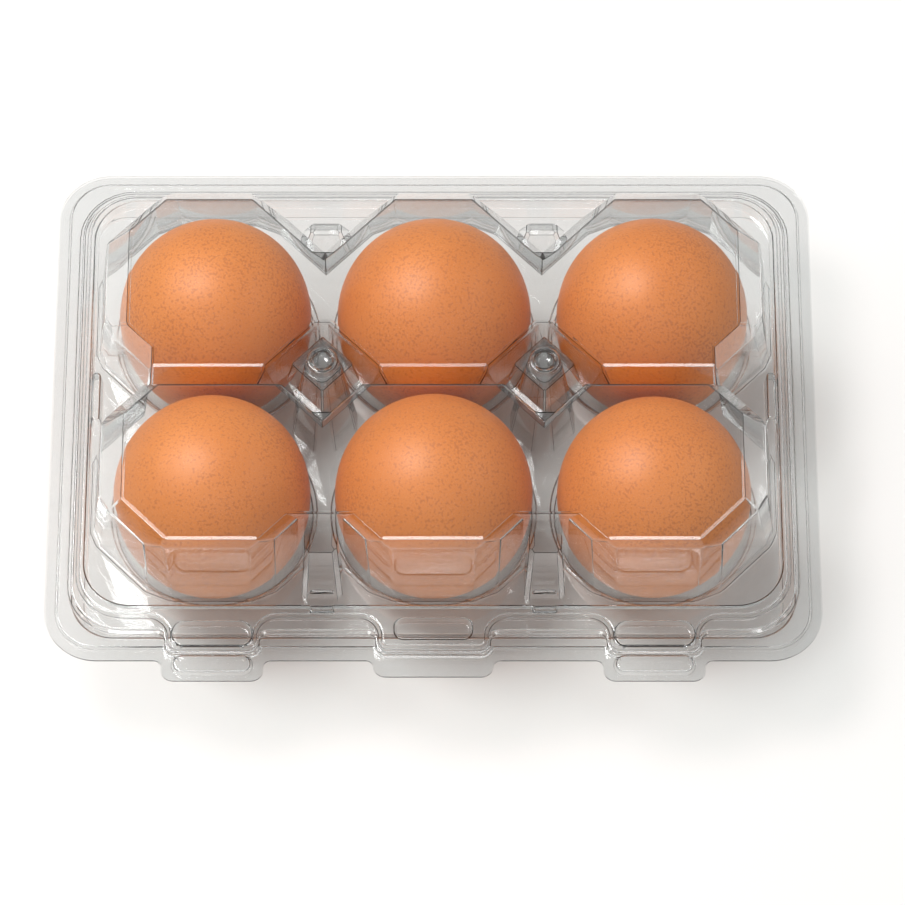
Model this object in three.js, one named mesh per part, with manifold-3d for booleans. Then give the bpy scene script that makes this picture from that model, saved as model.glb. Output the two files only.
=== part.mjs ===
// Clear moulded egg carton, shut, with six brown eggs standing in it.
//
// Two thin shells of clear plastic meet at a flat rim: a tray of six cups below and a lid
// with a faceted dome over each egg above. The three domes of a row run together at their
// flat tops and part only in notches at the rim. The two are one sheet in the real pack, folded along the
// back edge, and three tabs along the front hold it shut. Millimetres, Z up, the front
// with the tabs toward -Y, the carton standing on the flat bottoms of its cups.

import * as THREE from 'three';
import { mergeVertices } from 'three/addons/utils/BufferGeometryUtils.js';
import Module from 'manifold-3d';

// Driving dimensions

const PITCH_X = 50;            // egg to egg along a row
const PITCH_Y = 45.6;          // front row to back row
const RIM_HALF_X = 87.5;
const RIM_HALF_Y = 62.5;
const RIM_RADIUS = 12;
const WALL = 0.6;              // wall of both shells
const GAP = 0.3;               // clear space between pieces that touch

const PART_Z = 27;             // underside of the lid's rim
const LID_TOP = 56;
const LID_FLOOR = 28.5;        // top of the flat ground between the domes
const BEAD_TOP = 31.5;         // crest of the raised frame round the lid
const WEB_TOP = 17;            // top of the sheet between the cups
const RIM_UNDER = PART_Z - GAP;

// Walls of a dome, as distances from the middle of its egg. `foot` is on the ground and
// `top` at the flat top, `draft` is the lean of the wall and `bevel` that of the facet
// between wall and top, both in mm per mm of height.
const DOME_SIDE = { foot: 27, draft: 0.118, top: 18.9, bevel: 0.83 };
const DOME_FRONT = { foot: 25.5, draft: 0.044, top: 23.2, bevel: 0.5 };
const DOME_BACK = { foot: 25.4, draft: 0.15, top: 17.2, bevel: 0.83 };
const COLUMN_REACH = 25.2;     // neighbours in a row overlap and so run together
const GROOVE_FRONT = 15.2;     // egg to groove between the rows, at the flat top
const GROOVE_BACK = 25.4;
const GROOVE_SLOPE = 0.42;

// Narrow strips between a wall and its corner walls.
const STRIP_SIDE = { foot: 28.3, draft: 0.1 };
const STRIP_FRONT = { foot: 26.9, draft: 0.028 };
const STRIP_BACK = { foot: 26.8, draft: 0.13 };

// Corner walls of the domes of each row, by what they face.
const CORNERS = {
  front: {
    rim: { foot: 26.6, draft: 0.03, top: 23.1, bevel: 0.36 },
    notch: { foot: 26.5, draft: 0.01, top: 24.6, bevel: 0.17 },
    crossing: { foot: 26.6, draft: 0.09, top: 22, bevel: 0.36 },
    side: { foot: 26.6, draft: 0.08, top: 19, bevel: 0.62 },
  },
  back: {
    rim: { foot: 26.4, draft: 0.1, top: 19.9, bevel: 0.6 },
    notch: { foot: 26.4, draft: 0.04, top: 18.9, bevel: 0.5 },
    crossing: { foot: 27.6, draft: 0.02, top: 26.6, bevel: 0.3 },
    side: { foot: 26.6, draft: 0.03, top: 24, bevel: 0.25 },
  },
};

// Flat-topped bridges that close the gap between two domes of a row, front to back.
const BRIDGES = [
  { front: -39.8, back: -14.5 },
  { front: 8.3, back: 26.3 },
];
const BRIDGE_HALF = 12;
const BRIDGE_DRAFT = 0.03;

const RIB_HALF = 4.5;          // ribs that stiffen the notches, on the ground
const RIB_TOP = 46.5;
const BACK_RIB_HALF = 5.2;
const BACK_RIB_TOP = 34.5;
const BUTTRESS_TOP = 33;       // low buttresses beside the frame, in the side notches

const CUP_SIDES = 16;
const CUP_BOTTOM = 9.6;        // centre to side at the flat bottom of a cup
const CUP_WAIST = 17.2;        // the same where the cup's wall steepens
const CUP_WAIST_Z = 8;
const CUP_TOP = 22.1;

const PIT_FLOOR = 44;          // bottom of the pit between four domes
const PIT_HALF = 9.4;
const PLATFORM_TOP = 51.5;     // diamond that stands in the pit
const PLATFORM_FOOT = 6;
const PLATFORM_DRAFT = 0.147;
const BUTTON_RADIUS = 3.75;
const BUTTON_TOP = 53.5;
const PILLAR_FOOT = 10;
const PILLAR_HEAD = 3.6;
const PILLAR_TOP = 50.4;

const TABS = [
  { x: -49.5, width: 23, reach: 5 },
  { x: 0, width: 27, reach: 4 },
  { x: 49.5, width: 23, reach: 5 },
];
const TAB_RADIUS = 2.6;
const BUMP_HEIGHT = 1.6;
const CATCH_EDGE = 1.3;        // rim's edge to the front of the blocks behind the tabs
const RIM_STEP = 2.4;          // rim's edge to the step up to the ground
const RING_RADIUS = 10.5;      // corners of the raised frame

// The outline is longer at the front by the reach of the tabs, so the pack is moved back
// by half of that and its middle lies over the origin.
const SHIFT_Y = 2.5;

const COLUMNS = [-PITCH_X, 0, PITCH_X];
const ROWS = [-PITCH_Y / 2, PITCH_Y / 2];
const CROSSINGS = [-PITCH_X / 2, PITCH_X / 2];

const wasm = await Module();
wasm.setup();

// Solids from plain shapes

function toSolid(geometry) {
  const bare = geometry.index ? geometry.toNonIndexed() : geometry.clone();
  bare.deleteAttribute('normal');
  bare.deleteAttribute('uv');
  const merged = mergeVertices(bare, 1e-4);
  return new wasm.Manifold(new wasm.Mesh({
    numProp: 3,
    vertProperties: new Float32Array(merged.attributes.position.array),
    triVerts: new Uint32Array(merged.index.array),
  }));
}

function toGeometry(solid) {
  const mesh = solid.getMesh();
  const geometry = new THREE.BufferGeometry();
  geometry.setAttribute('position', new THREE.BufferAttribute(new Float32Array(mesh.vertProperties), 3));
  geometry.setIndex(new THREE.BufferAttribute(new Uint32Array(mesh.triVerts), 1));
  geometry.computeVertexNormals();
  return geometry;
}

function joinAll(solids) {
  return solids.reduce((whole, solid) => whole.add(solid));
}

// A straight-sided body between level outlines of equal count, lowest first.
function loft(rings) {
  const count = rings[0].points.length;
  const positions = [];
  for (const ring of rings) {
    for (const point of ring.points) {
      positions.push(point[0], point[1], ring.z);
    }
  }
  const index = [];
  for (let level = 0; level < rings.length - 1; level++) {
    for (let i = 0; i < count; i++) {
      const a = level * count + i;
      const b = level * count + (i + 1) % count;
      index.push(a, b, b + count, a, b + count, a + count);
    }
  }
  const top = (rings.length - 1) * count;
  for (let i = 1; i < count - 1; i++) {
    index.push(0, i + 1, i);
    index.push(top, top + i, top + i + 1);
  }
  const geometry = new THREE.BufferGeometry();
  geometry.setAttribute('position', new THREE.Float32BufferAttribute(positions, 3));
  geometry.setIndex(index);
  return toSolid(geometry);
}

// A convex body bounded by planes. Each plane is a normal and its distance from the origin.
function boundedBody(planes) {
  const corners = [];
  for (let a = 0; a < planes.length; a++) {
    for (let b = a + 1; b < planes.length; b++) {
      for (let c = b + 1; c < planes.length; c++) {
        const cross = new THREE.Vector3().crossVectors(planes[b].normal, planes[c].normal);
        const scale = planes[a].normal.dot(cross);
        if (Math.abs(scale) < 1e-6) continue;
        const point = cross.multiplyScalar(planes[a].reach);
        const second = new THREE.Vector3().crossVectors(planes[c].normal, planes[a].normal);
        const third = new THREE.Vector3().crossVectors(planes[a].normal, planes[b].normal);
        point.addScaledVector(second, planes[b].reach);
        point.addScaledVector(third, planes[c].reach);
        point.divideScalar(scale);
        const inside = planes.every((plane) => plane.normal.dot(point) < plane.reach + 1e-6);
        const known = corners.some((corner) => corner.distanceTo(point) < 1e-4);
        if (inside && !known) corners.push(point);
      }
    }
  }
  const positions = [];
  for (const plane of planes) {
    const face = corners.filter((corner) => Math.abs(plane.normal.dot(corner) - plane.reach) < 1e-4);
    if (face.length < 3) continue;
    const middle = face.reduce((sum, corner) => sum.add(corner), new THREE.Vector3());
    middle.divideScalar(face.length);
    const along = face[0].clone().sub(middle).normalize();
    const across = new THREE.Vector3().crossVectors(plane.normal, along);
    const turn = (corner) => {
      const arm = corner.clone().sub(middle);
      return Math.atan2(arm.dot(across), arm.dot(along));
    };
    face.sort((first, next) => turn(first) - turn(next));
    for (let i = 1; i < face.length - 1; i++) {
      for (const corner of [face[0], face[i], face[i + 1]]) {
        positions.push(corner.x, corner.y, corner.z);
      }
    }
  }
  const geometry = new THREE.BufferGeometry();
  geometry.setAttribute('position', new THREE.Float32BufferAttribute(positions, 3));
  return toSolid(geometry);
}

// A wall that stands at `side` from the centre at height z and leans in by `draft` per mm.
function leaningPlane(angle, side, z, draft, inset) {
  const normal = new THREE.Vector3(Math.cos(angle), Math.sin(angle), draft);
  const length = normal.length();
  normal.divideScalar(length);
  return { normal, reach: (side + draft * z) / length - inset };
}

function levelPlane(direction, z) {
  return { normal: new THREE.Vector3(0, 0, direction), reach: direction * z };
}

// Outline of a rectangle with round corners, counter-clockwise from the right-hand side.
function roundedOutline(left, right, front, back, radius, steps = 6) {
  const points = [];
  const corners = [
    [right - radius, back - radius, 0],
    [left + radius, back - radius, 1],
    [left + radius, front + radius, 2],
    [right - radius, front + radius, 3],
  ];
  for (const [x, y, quarter] of corners) {
    for (let i = 0; i <= steps; i++) {
      const angle = (quarter + i / steps) * Math.PI / 2;
      points.push([x + radius * Math.cos(angle), y + radius * Math.sin(angle)]);
    }
  }
  return points;
}

// The rim's outline drawn in by a side margin and, at the front, a margin of its own.
function rimOutline(margin, frontMargin = margin, radius = Math.max(RIM_RADIUS - margin, 3)) {
  return roundedOutline(
    -RIM_HALF_X + margin,
    RIM_HALF_X - margin,
    -RIM_HALF_Y + frontMargin,
    RIM_HALF_Y - margin,
    radius,
  );
}

function block(x, y, halfX, halfY, low, high, lean, radius = 1.2) {
  const outline = (inset) => roundedOutline(
    x - halfX + inset,
    x + halfX - inset,
    y - halfY + inset,
    y + halfY - inset,
    radius,
    3,
  );
  return loft([{ z: low, points: outline(0) }, { z: high, points: outline(lean) }]);
}

function cone(x, y, lowRadius, highRadius, low, high, sides = 20) {
  const ring = (radius) => {
    const points = [];
    for (let i = 0; i < sides; i++) {
      const angle = (i + 0.5) * 2 * Math.PI / sides;
      points.push([x + radius * Math.cos(angle), y + radius * Math.sin(angle)]);
    }
    return points;
  };
  return loft([{ z: low, points: ring(lowRadius) }, { z: high, points: ring(highRadius) }]);
}

// Flat rim sheet with its three front tabs.
function rimSheet(low, high) {
  const shape = new THREE.Shape();
  const front = -RIM_HALF_Y;
  shape.moveTo(-RIM_HALF_X + RIM_RADIUS, front);
  for (const tab of TABS) {
    const left = tab.x - tab.width / 2;
    const right = tab.x + tab.width / 2;
    const tip = front - tab.reach;
    shape.lineTo(left - 1, front);
    shape.lineTo(left, front - 1);
    shape.lineTo(left, tip + TAB_RADIUS);
    shape.absarc(left + TAB_RADIUS, tip + TAB_RADIUS, TAB_RADIUS, Math.PI, 1.5 * Math.PI, false);
    shape.lineTo(right - TAB_RADIUS, tip);
    shape.absarc(right - TAB_RADIUS, tip + TAB_RADIUS, TAB_RADIUS, 1.5 * Math.PI, 2 * Math.PI, false);
    shape.lineTo(right, front - 1);
    shape.lineTo(right + 1, front);
  }
  const inX = RIM_HALF_X - RIM_RADIUS;
  const inY = RIM_HALF_Y - RIM_RADIUS;
  shape.lineTo(inX, front);
  shape.absarc(inX, -inY, RIM_RADIUS, 1.5 * Math.PI, 2 * Math.PI, false);
  shape.lineTo(RIM_HALF_X, inY);
  shape.absarc(inX, inY, RIM_RADIUS, 0, 0.5 * Math.PI, false);
  shape.lineTo(-inX, RIM_HALF_Y);
  shape.absarc(-inX, inY, RIM_RADIUS, 0.5 * Math.PI, Math.PI, false);
  shape.lineTo(-RIM_HALF_X, -inY);
  shape.absarc(-inX, -inY, RIM_RADIUS, Math.PI, 1.5 * Math.PI, false);
  const geometry = new THREE.ExtrudeGeometry(shape, {
    depth: high - low,
    bevelEnabled: false,
    curveSegments: 6,
  });
  geometry.translate(0, 0, low);
  return toSolid(geometry);
}

// Lid

function wallPlanes(angle, wall, inset) {
  const planes = [leaningPlane(angle, wall.foot, LID_FLOOR, wall.draft, inset)];
  if (wall.top) planes.push(leaningPlane(angle, wall.top, LID_TOP, wall.bevel, inset));
  return planes;
}

// One dome, open toward its neighbours in the row.
function dome(x, y, inset, bottom) {
  const inFront = y < 0;
  const planes = [levelPlane(-1, bottom), levelPlane(1, LID_TOP - inset)];
  for (const sideX of [-1, 1]) {
    const angle = sideX > 0 ? 0 : Math.PI;
    if (sideX * x > 30) {
      planes.push(...wallPlanes(angle, DOME_SIDE, inset));
      planes.push(...wallPlanes(angle - Math.PI / 8, STRIP_SIDE, inset));
      planes.push(...wallPlanes(angle + Math.PI / 8, STRIP_SIDE, inset));
    } else {
      planes.push(leaningPlane(angle, COLUMN_REACH, LID_FLOOR, 0, 0));
    }
    for (const sideY of [-1, 1]) {
      const atSide = sideX * x > 30;
      const atEnd = sideY * y > 0;
      const kind = atSide ? (atEnd ? 'rim' : 'side') : (atEnd ? 'notch' : 'crossing');
      const corner = CORNERS[inFront ? 'front' : 'back'][kind];
      planes.push(...wallPlanes(Math.atan2(sideY, sideX), corner, inset));
    }
  }
  const outward = inFront ? -Math.PI / 2 : Math.PI / 2;
  const strip = inFront ? STRIP_FRONT : STRIP_BACK;
  planes.push(...wallPlanes(outward, inFront ? DOME_FRONT : DOME_BACK, inset));
  planes.push(...wallPlanes(outward - Math.PI / 8, strip, inset));
  planes.push(...wallPlanes(outward + Math.PI / 8, strip, inset));
  const groove = inFront ? GROOVE_FRONT : GROOVE_BACK;
  planes.push(leaningPlane(-outward, groove, LID_TOP, GROOVE_SLOPE, inset));
  return boundedBody(planes).translate([x, y, 0]);
}

// A box whose four walls stand at the given places at height z and lean in by `draft`.
function leaningBox(sides, z, draft, bottom, top, inset, insetX = inset) {
  return boundedBody([
    levelPlane(-1, bottom),
    levelPlane(1, top - inset),
    leaningPlane(0, sides.right, z, draft, insetX),
    leaningPlane(Math.PI, -sides.left, z, draft, insetX),
    leaningPlane(Math.PI / 2, sides.back, z, draft, inset),
    leaningPlane(-Math.PI / 2, -sides.front, z, draft, inset),
  ]);
}

function bridge(x, span, inset, bottom) {
  const sides = { left: x - BRIDGE_HALF, right: x + BRIDGE_HALF, front: span.front, back: span.back };
  return leaningBox(sides, LID_TOP, BRIDGE_DRAFT, bottom, LID_TOP, inset, 0);
}

function diamond(x, foot, draft, z, inset, bottom, top) {
  const planes = [levelPlane(-1, bottom), levelPlane(1, top - inset)];
  for (let i = 0; i < 4; i++) {
    planes.push(leaningPlane((i + 0.5) * Math.PI / 2, foot, z, draft, inset));
  }
  return boundedBody(planes).translate([x, 0, 0]);
}

// The ribs in the notches between two domes at the front and the back, and the low buttresses that
// stand against the frame in the notches at the two sides.
function ribs(inset, bottom) {
  const bodies = [];
  for (const x of CROSSINGS) {
    const front = { left: x - RIB_HALF, right: x + RIB_HALF, front: -47.4, back: -36.5 };
    const back = { left: x - BACK_RIB_HALF, right: x + BACK_RIB_HALF, front: 41.5, back: 47.4 };
    bodies.push(leaningBox(front, LID_FLOOR, 0.1, bottom, RIB_TOP, inset));
    bodies.push(leaningBox(back, LID_FLOOR, 0.1, bottom, BACK_RIB_TOP, inset));
  }
  for (const side of [-1, 1]) {
    const inner = side * 75.8;
    const outer = side * 79.6;
    const sides = { left: Math.min(inner, outer), right: Math.max(inner, outer), front: -5, back: 8 };
    bodies.push(leaningBox(sides, LID_FLOOR, 0.1, bottom, BUTTRESS_TOP, inset));
  }
  return bodies;
}

// Blocks behind the tabs, as high as the frame, with a shallow pocket in each.
function catches(body, inset, bottom) {
  let whole = body;
  for (const tab of TABS) {
    const half = tab.x === 0 ? 12.5 : 11.2;
    const front = -RIM_HALF_Y + CATCH_EDGE;
    const middle = (front - 51.2) / 2;
    const deep = (-51.2 - front) / 2;
    whole = whole.add(block(tab.x, middle, half - inset, deep - inset, bottom, BEAD_TOP - inset, 0.5, 2));
  }
  for (const tab of TABS) {
    const y = -RIM_HALF_Y + 4.4;
    const low = BEAD_TOP - 1.6 - inset;
    whole = whole.subtract(block(tab.x, y, 8 + inset, 2 + inset, low, BEAD_TOP + 1, -0.3, 1.4));
  }
  return whole;
}

// The lid as one filled body, drawn in by `inset` and open below where inset is not zero.
function lidBody(inset) {
  const outer = inset === 0;
  const low = outer ? PART_Z : PART_Z - 1;
  const foot = outer ? LID_FLOOR - WALL : PART_Z - 1;
  const ground = loft([
    { z: low, points: rimOutline(RIM_STEP + inset) },
    { z: LID_FLOOR - inset, points: rimOutline(RIM_STEP + 0.4 + inset) },
  ]);
  let frame = loft([
    { z: foot, points: rimOutline(5.5 + inset, 9 + inset, RING_RADIUS) },
    { z: BEAD_TOP - inset, points: rimOutline(6 + inset, 9.5 + inset, RING_RADIUS) },
  ]);
  frame = catches(frame, inset, foot);
  frame = frame.subtract(loft([
    { z: outer ? LID_FLOOR - WALL - 1 : foot - 1, points: rimOutline(8.7 - inset, 12.8 - inset, RING_RADIUS - 2) },
    { z: BEAD_TOP + 3, points: rimOutline(7.7 - inset, 11.8 - inset, RING_RADIUS - 2) },
  ]));
  const raised = ribs(inset, foot);
  for (const x of COLUMNS) {
    for (const y of ROWS) raised.push(dome(x, y, inset, foot));
  }
  for (const x of CROSSINGS) {
    for (const span of BRIDGES) raised.push(bridge(x, span, inset, foot));
    raised.push(diamond(x, PIT_HALF, 0, PIT_FLOOR, inset, foot, PIT_FLOOR));
    raised.push(diamond(x, PLATFORM_FOOT, PLATFORM_DRAFT, PIT_FLOOR, inset, foot, PLATFORM_TOP));
  }
  return ground.add(frame).add(joinAll(raised));
}

function lidSolid() {
  let shell = rimSheet(PART_Z, PART_Z + WALL).add(lidBody(0)).subtract(lidBody(WALL));
  for (const x of CROSSINGS) {
    const button = cone(x, 0, BUTTON_RADIUS, BUTTON_RADIUS - 0.3, PLATFORM_TOP - WALL, BUTTON_TOP);
    const dimple = cone(x, 0, 2, 2.6, PLATFORM_TOP + 0.4, BUTTON_TOP + 1);
    shell = shell.add(button.subtract(dimple));
  }
  for (const tab of TABS) {
    if (tab.x === 0) continue;
    const y = -RIM_HALF_Y - 2.1;
    const top = PART_Z + WALL + BUMP_HEIGHT;
    const bump = block(tab.x, y, 8.8, 2.1, PART_Z, top, 0.6, 1.4);
    const hollow = block(tab.x, y, 8.2, 1.5, PART_Z - 1, top - WALL, 0.6, 1.1);
    shell = shell.add(bump).subtract(hollow);
  }
  return shell;
}

// Tray

// A cup opens upward in two cones, the lower one flatter, as an egg's pointed end does.
function cup(x, y, inset, top) {
  const planes = [levelPlane(-1, inset), levelPlane(1, top)];
  const lower = (CUP_WAIST - CUP_BOTTOM) / CUP_WAIST_Z;
  const upper = (CUP_TOP - CUP_WAIST) / (WEB_TOP - CUP_WAIST_Z);
  for (let i = 0; i < CUP_SIDES; i++) {
    const angle = (i + 0.5) * 2 * Math.PI / CUP_SIDES;
    planes.push(leaningPlane(angle, CUP_BOTTOM, 0, -lower, inset));
    planes.push(leaningPlane(angle, CUP_TOP, WEB_TOP, -upper, inset));
  }
  return boundedBody(planes).translate([x, y, 0]);
}

function basin(inset, low, high) {
  const grow = (high - low) * 0.37;
  const edge = 5.8 + inset;
  return loft([
    { z: low, points: rimOutline(edge + grow) },
    { z: high, points: rimOutline(edge) },
  ]);
}

function traySolid() {
  let shell = rimSheet(RIM_UNDER - WALL, RIM_UNDER).add(basin(0, WEB_TOP - WALL, RIM_UNDER));
  for (const x of COLUMNS) {
    for (const y of ROWS) shell = shell.add(cup(x, y, 0, WEB_TOP));
  }
  shell = shell.subtract(basin(WALL, WEB_TOP, RIM_UNDER + 2));
  for (const x of COLUMNS) {
    for (const y of ROWS) shell = shell.subtract(cup(x, y, WALL, WEB_TOP + 1));
  }
  for (const x of CROSSINGS) {
    shell = shell.add(cone(x, 0, PILLAR_FOOT, PILLAR_HEAD, WEB_TOP - WALL, PILLAR_TOP, 16));
    const inFoot = PILLAR_FOOT - WALL;
    const inHead = PILLAR_HEAD - WALL;
    shell = shell.subtract(cone(x, 0, inFoot, inHead, WEB_TOP - 1, PILLAR_TOP - WALL, 16));
  }
  return shell;
}

// Eggs

// Blunt end up. `lean` tips the egg toward +X, `nod` toward -Y, both in degrees.
const EGGS = [
  { name: 'egg_back_left', column: 0, row: 1, across: 44.0, tall: 53.4, lean: -0.9, nod: -0.5 },
  { name: 'egg_back_middle', column: 1, row: 1, across: 44.6, tall: 53.0, lean: 0.4, nod: -0.6 },
  { name: 'egg_back_right', column: 2, row: 1, across: 43.8, tall: 53.8, lean: 0.6, nod: -0.4 },
  { name: 'egg_front_left', column: 0, row: 0, across: 44.5, tall: 53.2, lean: -0.5, nod: 0.6 },
  { name: 'egg_front_middle', column: 1, row: 0, across: 44.8, tall: 53.6, lean: 0.2, nod: 0.5 },
  { name: 'egg_front_right', column: 2, row: 0, across: 43.9, tall: 52.9, lean: -0.4, nod: 0.5 },
];
const EGG_REST = WALL + GAP;
const EGG_BLUNT = 0.13;

function eggGeometry(egg) {
  const rings = 15;
  const profile = [];
  let widest = 0;
  for (let i = 0; i <= rings; i++) {
    const along = -Math.cos(i * Math.PI / rings);
    const radius = Math.sqrt(Math.max(0, 1 - along * along)) * (1 + EGG_BLUNT * along);
    widest = Math.max(widest, radius);
    profile.push([radius, along]);
  }
  const points = profile.map(([radius, along]) => new THREE.Vector2(
    radius / widest * egg.across / 2,
    (along + 1) * egg.tall / 2,
  ));
  const geometry = new THREE.LatheGeometry(points, 22);
  geometry.rotateX(Math.PI / 2);
  geometry.translate(0, 0, -egg.tall * 0.3);
  geometry.rotateY(THREE.MathUtils.degToRad(egg.lean));
  geometry.rotateX(THREE.MathUtils.degToRad(egg.nod));
  geometry.computeBoundingBox();
  geometry.translate(COLUMNS[egg.column], ROWS[egg.row], EGG_REST - geometry.boundingBox.min.z);
  geometry.deleteAttribute('normal');
  geometry.deleteAttribute('uv');
  const merged = mergeVertices(geometry, 1e-3);
  return toGeometry(toSolid(merged));
}

// The finished pack

const clearPlastic = () => new THREE.MeshStandardMaterial({
  color: 0xe6eaec,
  roughness: 0.08,
  transparent: true,
  opacity: 0.3,
});

const group = new THREE.Group();

function addMesh(name, geometry, material) {
  const mesh = new THREE.Mesh(geometry, material);
  mesh.name = name;
  mesh.geometry.translate(0, SHIFT_Y, 0);
  group.add(mesh);
}

addMesh('tray', toGeometry(traySolid()), clearPlastic());
addMesh('lid', toGeometry(lidSolid()), clearPlastic());
for (const egg of EGGS) {
  const shell = new THREE.MeshStandardMaterial({ color: 0xcf7f4a, roughness: 0.55 });
  addMesh(egg.name, eggGeometry(egg), shell);
}

export default group;
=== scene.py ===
# %% [markdown]
# Clear egg carton with six brown eggs
#
# The carton is two thin shells of clear plastic, a tray of six cups and a lid of six
# faceted domes, shut over six eggs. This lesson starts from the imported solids, which
# hold the sizes, the hinge and the weight, and dresses them for the camera: each shell
# becomes one fine sheet with softened creases, and each egg a smooth shell with pores.

# %% Load the frame
import itertools
import math

import bmesh
import bpy
import numpy as np
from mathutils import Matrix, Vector


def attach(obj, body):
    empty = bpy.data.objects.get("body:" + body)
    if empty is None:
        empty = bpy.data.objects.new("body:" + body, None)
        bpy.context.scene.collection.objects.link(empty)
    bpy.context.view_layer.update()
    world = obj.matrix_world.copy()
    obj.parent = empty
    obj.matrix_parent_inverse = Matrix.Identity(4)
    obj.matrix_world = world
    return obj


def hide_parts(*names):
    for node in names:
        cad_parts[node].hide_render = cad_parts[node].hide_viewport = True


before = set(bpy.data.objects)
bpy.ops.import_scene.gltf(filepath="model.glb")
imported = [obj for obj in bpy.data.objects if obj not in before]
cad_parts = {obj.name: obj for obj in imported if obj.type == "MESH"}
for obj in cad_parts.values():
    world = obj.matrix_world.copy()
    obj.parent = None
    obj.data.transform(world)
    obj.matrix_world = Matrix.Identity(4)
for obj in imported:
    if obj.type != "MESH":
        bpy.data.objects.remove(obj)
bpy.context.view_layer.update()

# %% [markdown]
# Sizes
#
# The sizes repeat the named values of the solids, in millimetres. The real sheet is
# about a third of a millimetre thick, and the solids hold it at 0.6 mm, so the sheets
# drawn here sit on the outer faces of the lid and the inner faces of the tray. The
# middle of the rim lies 2.5 mm behind the frame's origin, as the tabs reach forward.

# %% Sizes in millimetres
MM = 0.001
PITCH_X = 50.0
PITCH_Y = 45.6
RIM_HALF_X = 87.5
RIM_HALF_Y = 62.5
RIM_RADIUS = 12.0
SHEET = 0.25
SHIFT_Y = 2.5

LID_RIM = 27.45
LID_FLOOR = 28.5
STEP_TOP = 29.9
BEAD_TOP = 31.4
PIT_FLOOR = 44.0
RIB_TOP = 46.5
PLATFORM_TOP = 51.5
BUTTON_TOP = 53.4
LID_TOP = 55.9

WEB_TOP = 17.0
TRAY_RIM = 26.68
PILLAR_TOP = 50.2

COLUMNS = (-PITCH_X, 0.0, PITCH_X)
ROWS = (-PITCH_Y / 2, PITCH_Y / 2)
CROSSINGS = (-PITCH_X / 2, PITCH_X / 2)
print("rim", 2 * RIM_HALF_X, "by", 2 * RIM_HALF_Y, "mm, flat tops at", LID_TOP, "mm")

# %% [markdown]
# Closed bodies from planes
#
# A moulded pack is flat facets that lean a little, so that it lifts off its mould. The
# plainest way to hold such a facet is its plane. A dome is then every point that lies
# inside all of its planes, and its corners are where three of them meet. Bevelling the
# finished sheet would tear where many short edges meet, so the creases are planes too:
# each edge of a dome is cut off by a narrow plane before the domes are joined.

# %% Mesh objects and corners
PARALLEL = 1e-6
ON_PLANE = 1e-3


def mesh_object(name, verts, faces):
    """A mesh object at the origin from corner places in millimetres and lists of corners."""
    mesh = bpy.data.meshes.new(name)
    mesh.from_pydata((np.asarray(verts) + (0, SHIFT_Y, 0)) * MM, [], [list(f) for f in faces])
    mesh.update()
    obj = bpy.data.objects.new(name, mesh)
    bpy.context.scene.collection.objects.link(obj)
    return obj


def corners_of(planes):
    """Corners of the body inside all planes, and which planes each one lies on. A plane is
    (nx, ny, nz, reach), with points p of the body at n . p <= reach, and every corner
    solves three planes at once."""
    triples = np.array(list(itertools.combinations(range(len(planes)), 3)))
    sides, reaches = planes[triples][:, :, :3], planes[triples][:, :, 3]
    sound = np.abs(np.linalg.det(sides)) > PARALLEL
    points = np.linalg.solve(sides[sound], reaches[sound][..., None])[..., 0]
    points = points[(points @ planes[:, :3].T <= planes[:, 3] + PARALLEL).all(1)]
    points = np.unique(np.round(points, 5), axis=0)
    return points, np.abs(points @ planes[:, :3].T - planes[:, 3]) < ON_PLANE


unit_cube = np.array([[*side, 1.0] for side in np.concatenate([np.eye(3), -np.eye(3)])])
print("six planes of a cube meet in", len(corners_of(unit_cube)[0]), "corners")

# %% Bodies with cut creases
# Edges that turn less than this stay as they are, and so do the edges of the underside.
LEAST_TURN = math.radians(5)
UNDERSIDE = -0.9
BACK_TIGHTER = 0.45


def cut_planes(planes, crease):
    """One plane for each edge between two faces that turn by an angle t: it looks halfway
    between them and lies w * sin(t / 2) below the edge, w being the crease's width.
    Creases toward the back are tighter, as the sheet was drawn that way."""
    points, on = corners_of(planes)
    cuts = []
    for i, j in itertools.combinations(range(len(planes)), 2):
        ends = points[on[:, i] & on[:, j]]
        turn = math.acos(np.clip(planes[i, :3] @ planes[j, :3], -1, 1))
        if len(ends) < 2 or turn < LEAST_TURN or min(planes[i, 2], planes[j, 2]) < UNDERSIDE:
            continue
        middle = planes[i, :3] + planes[j, :3]
        middle /= np.linalg.norm(middle)
        width = crease * (BACK_TIGHTER if middle[1] > 0.1 else 1)
        cuts.append([*middle, (ends @ middle).max() - width * math.sin(turn / 2)])
    return cuts


def faceted(name, planes, centre, crease=0.0):
    """The body inside all planes, with its creases cut. Each face takes the corners on its
    plane, sorted by their angle round the face's middle."""
    planes = np.asarray(planes, float)
    if crease:
        planes = np.concatenate([planes, cut_planes(planes, crease)])
    points, on = corners_of(planes)
    faces = []
    for plane, corners in zip(planes, on.T):
        corners = np.flatnonzero(corners)
        if len(corners) < 3:
            continue
        arms = points[corners] - points[corners].mean(0)
        along = arms[0] / np.linalg.norm(arms[0])
        across = np.cross(plane[:3], along)
        faces.append(corners[np.argsort(np.arctan2(arms @ across, arms @ along))])
    return mesh_object(name, points + (centre[0], centre[1], 0), faces)


def leaning(angle, side, z, draft):
    """A wall `side` from the centre at height z that leans in by `draft` per mm of height."""
    length = math.hypot(1, draft)
    reach = (side + draft * z) / length
    return (math.cos(angle) / length, math.sin(angle) / length, draft / length, reach)


def level(direction, z):
    """A floor (direction -1) or a flat top (direction 1) at height z."""
    return (0, 0, direction, direction * z)


print("a draft of 0.1 mm per mm is", round(math.degrees(math.atan(0.1)), 1), "degrees")

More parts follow.
